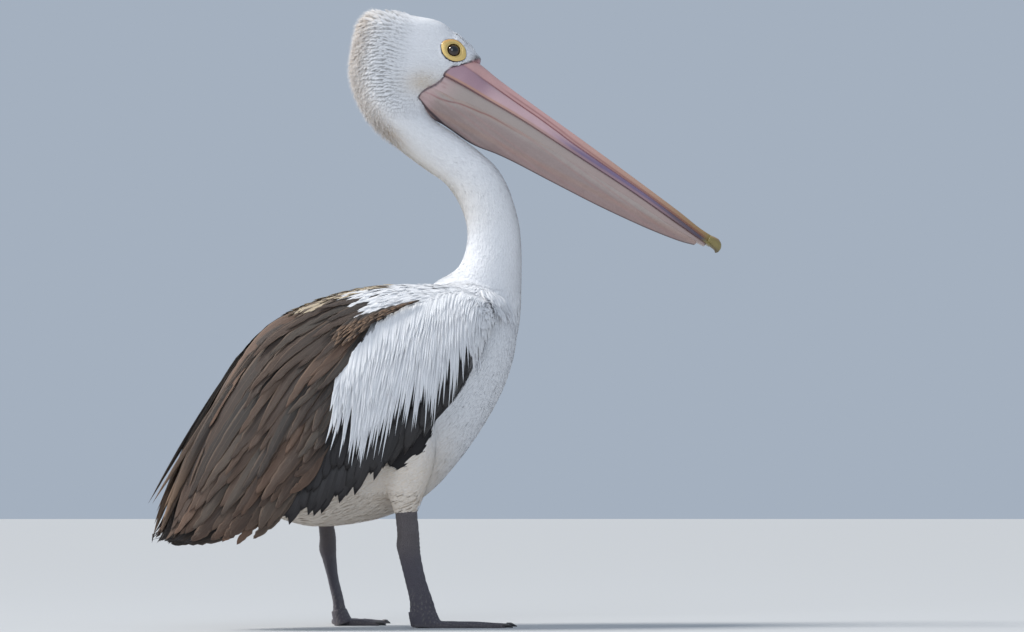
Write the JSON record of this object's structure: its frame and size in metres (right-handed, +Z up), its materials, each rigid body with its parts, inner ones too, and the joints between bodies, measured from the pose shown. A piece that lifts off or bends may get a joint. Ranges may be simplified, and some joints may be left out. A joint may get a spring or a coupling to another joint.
{
  "type": "australian pelican",
  "caption": "Life-size standing pelican with folded wings, an S-shaped neck and a long hooked bill pointing forward and down.",
  "frame": {"origin": "on the floor, under the middle of the bird's box", "axes": "+X is the way the body faces, +Y its left side, +Z up; the bill and neck are turned 27 degrees to the right"},
  "size_m": [0.8246, 0.3492, 0.9033],
  "materials": {
    "white_feathers": "soft white plumage, cream on the belly",
    "dark_feathers": "brown-black wing feathers with worn pale edges and white coverts",
    "bill_skin": "satin pink bill with a dark groove and a blue-grey band toward the tip",
    "pouch_skin": "thin grey-pink bare skin, finely folded",
    "bill_nail": "olive horn",
    "eye": "wet dark brown",
    "eye_ring": "bare yellow skin",
    "leg_skin": "slate-grey scaled skin",
    "claw": "dark horn"
  },
  "bodies": {
    "root": {"neck_lower": "white_feathers", "neck_middle": "white_feathers", "neck_upper": "white_feathers", "head": "white_feathers", "eye_right": "eye", "eye_ring_right": "eye_ring", "eye_left": "eye", "eye_ring_left": "eye_ring", "bill_upper": "bill_skin", "bill_nail": "bill_nail", "bill_lower": "bill_skin", "bill_pouch": "pouch_skin", "trunk": "white_feathers", "tail": "dark_feathers", "wing_left": "dark_feathers", "wing_right": "dark_feathers", "thigh_right": "white_feathers", "shank_right": "leg_skin", "foot_right": "leg_skin", "claw_right_outer": "claw", "claw_right_middle": "claw", "claw_right_inner": "claw", "claw_right_hind": "claw", "thigh_left": "white_feathers", "shank_left": "leg_skin", "foot_left": "leg_skin", "claw_left_outer": "claw", "claw_left_middle": "claw", "claw_left_inner": "claw", "claw_left_hind": "claw"}
  },
  "joints": []
}
